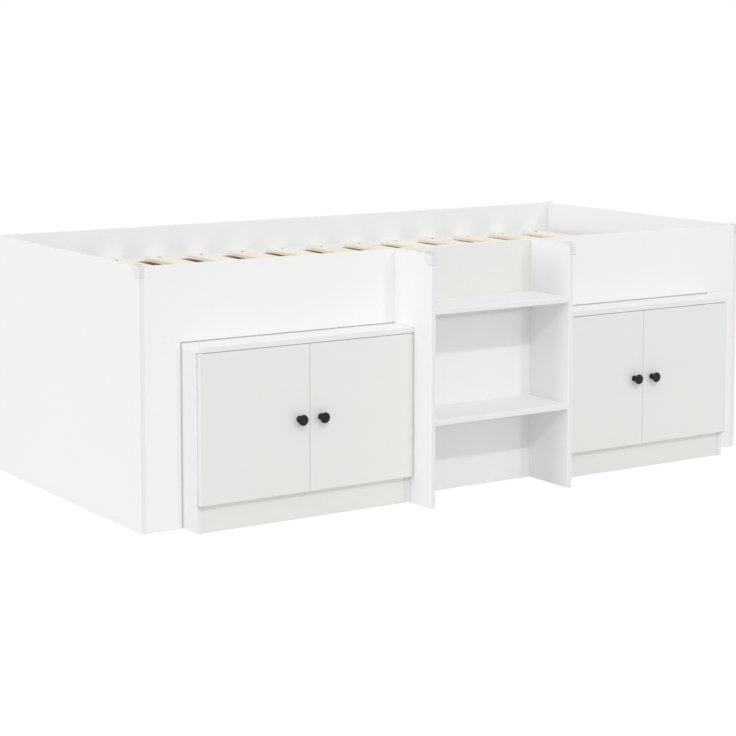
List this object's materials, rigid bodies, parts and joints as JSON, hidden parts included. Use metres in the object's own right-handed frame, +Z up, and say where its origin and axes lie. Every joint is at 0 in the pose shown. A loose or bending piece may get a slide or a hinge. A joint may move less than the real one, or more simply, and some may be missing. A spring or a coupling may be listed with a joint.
{
  "type": "low loft bed",
  "caption": "Low loft bed in white board: slatted base between end panels and rails, open step shelf in the middle of its front, storage cabinets with swing doors beside it.",
  "frame": {"origin": "on the floor, in the middle of the bed's bounding box", "axes": "+X along the bed, +Y from its front with the cabinets to its back, +Z up"},
  "size_m": [2.04, 1.115, 0.69],
  "materials": {
    "white_board": "satin white melamine",
    "thin_board": "painted thin board",
    "pine": "planed, unvarnished",
    "knob_black": "matt black",
    "clear_plastic": "clear gloss",
    "nylon": "natural nylon",
    "catch_white": "matt white",
    "steel": "zinc plated"
  },
  "bodies": {
    "bed": {"bed_corner_guards": "clear_plastic", "front_batten": "pine", "front_centre_panel": "white_board", "front_left_stile": "white_board", "front_rail": "white_board", "front_right_stile": "white_board", "left_cabinet_back": "thin_board", "left_cabinet_bottom": "white_board", "left_cabinet_left_side": "white_board", "left_cabinet_plinth": "white_board", "left_cabinet_right_side": "white_board", "left_cabinet_shelf": "white_board", "left_cabinet_top": "white_board", "left_end_panel": "white_board", "lower_shelf": "white_board", "magnetic_catches": "catch_white", "pivot_brackets": "steel", "rear_batten": "pine", "rear_centre_leg": "white_board", "rear_rail": "white_board", "right_cabinet_back": "thin_board", "right_cabinet_bottom": "white_board", "right_cabinet_left_side": "white_board", "right_cabinet_plinth": "white_board", "right_cabinet_right_side": "white_board", "right_cabinet_shelf": "white_board", "right_cabinet_top": "white_board", "right_end_panel": "white_board", "shelf_corner_guards": "clear_plastic", "shelf_left_side": "white_board", "shelf_right_side": "white_board", "slats": "pine", "upper_shelf": "white_board"},
    "left_cabinet_left_door": {"left_cabinet_left_door": "white_board", "left_cabinet_left_knob": "knob_black", "left_cabinet_left_pivot_bushes": "nylon", "left_cabinet_left_strike_plate": "steel"},
    "left_cabinet_right_door": {"left_cabinet_right_door": "white_board", "left_cabinet_right_knob": "knob_black", "left_cabinet_right_pivot_bushes": "nylon", "left_cabinet_right_strike_plate": "steel"},
    "right_cabinet_left_door": {"right_cabinet_left_door": "white_board", "right_cabinet_left_knob": "knob_black", "right_cabinet_left_pivot_bushes": "nylon", "right_cabinet_left_strike_plate": "steel"},
    "right_cabinet_right_door": {"right_cabinet_right_door": "white_board", "right_cabinet_right_knob": "knob_black", "right_cabinet_right_pivot_bushes": "nylon", "right_cabinet_right_strike_plate": "steel"}
  },
  "joints": [
    {"name": "left_cabinet_left_door_swing", "type": "hinge", "parent": "bed", "child": "left_cabinet_left_door", "pos_m": [-0.8855, -0.4645, 0.27], "axis": [0, 0, -1], "range_deg": [0, 110]},
    {"name": "left_cabinet_right_door_swing", "type": "hinge", "parent": "bed", "child": "left_cabinet_right_door", "pos_m": [-0.2489, -0.4645, 0.27], "axis": [0, 0, 1], "range_deg": [0, 90]},
    {"name": "right_cabinet_left_door_swing", "type": "hinge", "parent": "bed", "child": "right_cabinet_left_door", "pos_m": [0.2489, -0.4645, 0.27], "axis": [0, 0, -1], "range_deg": [0, 90]},
    {"name": "right_cabinet_right_door_swing", "type": "hinge", "parent": "bed", "child": "right_cabinet_right_door", "pos_m": [0.8855, -0.4645, 0.27], "axis": [0, 0, 1], "range_deg": [0, 110]}
  ]
}
